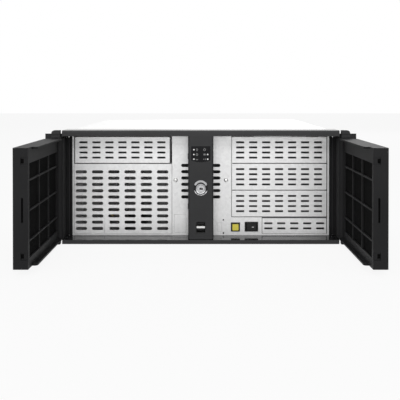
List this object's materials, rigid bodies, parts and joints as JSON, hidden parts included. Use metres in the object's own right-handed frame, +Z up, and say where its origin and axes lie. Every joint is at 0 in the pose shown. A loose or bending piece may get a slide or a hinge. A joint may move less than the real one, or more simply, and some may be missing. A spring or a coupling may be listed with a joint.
{
  "type": "empty rackmount server case",
  "caption": "Four-unit rack server case with filtered double front doors, drive bay covers, slotted front panel, rack ears and a lift-off lid.",
  "frame": {"origin": "bottom face, at the middle of the rack ears' front plane", "axes": "+X is to the viewer's right, +Y towards the rear, +Z up"},
  "size_m": [0.4826, 0.6262, 0.176],
  "materials": {
    "zinc_sheet": "galvanised, mottled",
    "black_metal": "black powder coat",
    "black_plastic": "fine moulded grain",
    "retainer_plastic": "plain moulded",
    "filter_foam": "open-cell foam",
    "bright_steel": "bright plated",
    "chrome_plate": "polished",
    "smoked_window": "smoked gloss",
    "lamp_lens": "clear moulded",
    "yellow_cap": "satin",
    "control_black": "satin",
    "brass_post": "turned"
  },
  "bodies": {
    "chassis": {"bay_cage_left": "zinc_sheet", "bay_cage_right": "zinc_sheet", "bay_cover_left": "zinc_sheet", "bay_cover_right_1": "zinc_sheet", "bay_cover_right_2": "zinc_sheet", "bay_cover_right_3": "zinc_sheet", "bezel_frame": "black_plastic", "board_standoffs": "brass_post", "card_slot_covers": "zinc_sheet", "case_screws": "bright_steel", "centre_strip": "black_plastic", "chassis_tub": "zinc_sheet", "drive_cage": "zinc_sheet", "fan_bracket": "zinc_sheet", "front_panel": "zinc_sheet", "hinge_pins": "bright_steel", "indicator_lamps": "lamp_lens", "indicator_window": "smoked_window", "lock_body": "chrome_plate", "lock_nut": "chrome_plate", "push_button_frame": "control_black", "rack_ear_left": "black_metal", "rack_ear_right": "black_metal", "rear_panel": "zinc_sheet", "side_grip_left": "black_plastic", "side_grip_right": "black_plastic", "small_bay_cage": "zinc_sheet", "small_bay_cover": "zinc_sheet", "switch_frame": "control_black", "usb_ports": "bright_steel", "vent_corner_plate": "zinc_sheet", "vent_panel": "zinc_sheet"},
    "left_door": {"door_left": "black_plastic", "door_filter_left": "filter_foam", "filter_retainer_left": "retainer_plastic"},
    "right_door": {"door_right": "black_plastic", "door_filter_right": "filter_foam", "filter_retainer_right": "retainer_plastic"},
    "lock_cylinder": {"lock_plug": "chrome_plate", "lock_cam": "black_metal"},
    "button_cap": {"push_button": "yellow_cap"},
    "rocker": {"switch_rocker": "control_black"},
    "lid": {"top_cover": "zinc_sheet", "cover_thumbscrews": "bright_steel"}
  },
  "joints": [
    {"name": "left_door_hinge", "type": "hinge", "parent": "chassis", "child": "left_door", "pos_m": [-0.2095, 0.022, 0.086], "axis": [0, 0, 1], "range_deg": [0, 90]},
    {"name": "right_door_hinge", "type": "hinge", "parent": "chassis", "child": "right_door", "pos_m": [0.2095, 0.022, 0.086], "axis": [0, 0, -1], "range_deg": [0, 90]},
    {"name": "lock_turn", "type": "hinge", "parent": "chassis", "child": "lock_cylinder", "pos_m": [0, 0, 0.086], "axis": [0, 1, 0], "range_deg": [0, 90]},
    {"name": "button_press", "type": "slide", "parent": "chassis", "child": "button_cap", "axis": [0, 1, 0], "range_m": [0, 0.002], "stiffness_N_per_m": 400, "springref_m": -0.001},
    {"name": "rocker_tilt", "type": "hinge", "parent": "chassis", "child": "rocker", "pos_m": [0.0803, 0.021, 0.0215], "axis": [0, 0, 1], "range_deg": [0, 14]},
    {"name": "lid_slide", "type": "slide", "parent": "chassis", "child": "lid", "axis": [0, 1, 0], "range_m": [0, 0.015]}
  ]
}
